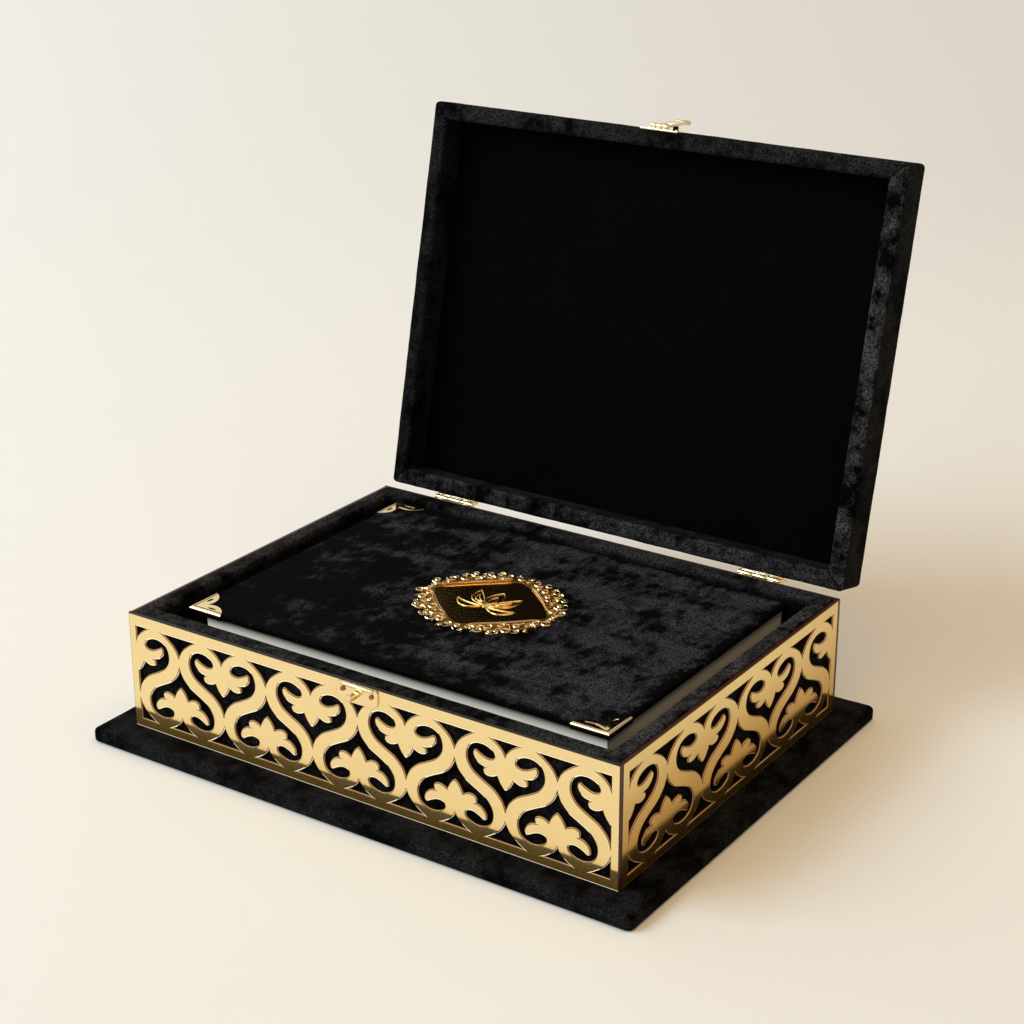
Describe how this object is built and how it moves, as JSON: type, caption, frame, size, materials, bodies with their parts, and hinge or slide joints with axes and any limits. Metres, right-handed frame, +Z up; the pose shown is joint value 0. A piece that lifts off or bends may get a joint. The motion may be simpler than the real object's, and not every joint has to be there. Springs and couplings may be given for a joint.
{
  "type": "book box",
  "caption": "Velvet-covered book box with pierced gold side panels, a hinged lid with a hasp, and a velvet-bound book lying inside.",
  "frame": {"origin": "centre of the base's underside, on the surface the box stands on", "axes": "+X to the right along the front, +Y to the back where the hinges are, +Z up"},
  "size_m": [0.309, 0.2975, 0.2783],
  "materials": {
    "velvet": "black velvet pile",
    "felt": "black felt",
    "foam": "soft pad",
    "board": "raw fibreboard",
    "gold_panel": "mirror gold sheet",
    "brass": "polished gold plated",
    "pages": "trimmed page edges",
    "card": "plain card",
    "headband": "woven band"
  },
  "bodies": {
    "box": {"base_board": "board", "base_velvet": "velvet", "base_felt": "felt", "front_wall": "board", "back_wall": "board", "left_wall": "board", "right_wall": "board", "floor_board": "board", "wall_velvet": "velvet", "floor_pad": "foam", "floor_velvet": "velvet", "front_fret": "gold_panel", "back_fret": "gold_panel", "left_fret": "gold_panel", "right_fret": "gold_panel", "hinge_box_leaf_left": "brass", "hinge_box_leaf_right": "brass", "hinge_pin_left": "brass", "hinge_pin_right": "brass", "box_leaf_screws": "brass", "keeper_plate": "brass", "keeper_rivets": "brass"},
    "lid": {"lid_top_board": "board", "lid_front_rail": "board", "lid_back_rail": "board", "lid_left_rail": "board", "lid_right_rail": "board", "lid_velvet": "velvet", "lid_lining_card": "card", "lid_lining_velvet": "velvet", "hinge_lid_leaf_left": "brass", "hinge_lid_leaf_right": "brass", "lid_leaf_screws": "brass", "latch_plate": "brass", "latch_rivets": "brass", "latch_pin": "brass"},
    "hasp": {"hasp": "brass"},
    "book": {"book_front_board": "board", "book_back_board": "board", "book_spine_board": "board", "book_velvet": "velvet", "front_endpaper": "card", "back_endpaper": "card", "page_block": "pages", "spine_lining": "card", "headband_left": "headband", "headband_right": "headband", "corner_front_left": "brass", "corner_front_right": "brass", "corner_back_left": "brass", "medallion_plate": "brass", "medallion_frame": "brass", "medallion_lines": "brass"}
  },
  "joints": [
    {"name": "lid_hinge", "type": "hinge", "parent": "box", "child": "lid", "pos_m": [0, 0.1055, 0.0678], "axis": [1, 0, 0], "range_deg": [0, 102.8]},
    {"name": "hasp_hinge", "type": "hinge", "parent": "lid", "child": "hasp", "pos_m": [0.001, 0.15574, 0.27676], "axis": [1, 0, 0], "range_deg": [0, 172]},
    {"name": "book_lift", "type": "slide", "parent": "box", "child": "book", "axis": [0, 0, 1], "range_m": [0, 0.15]}
  ]
}
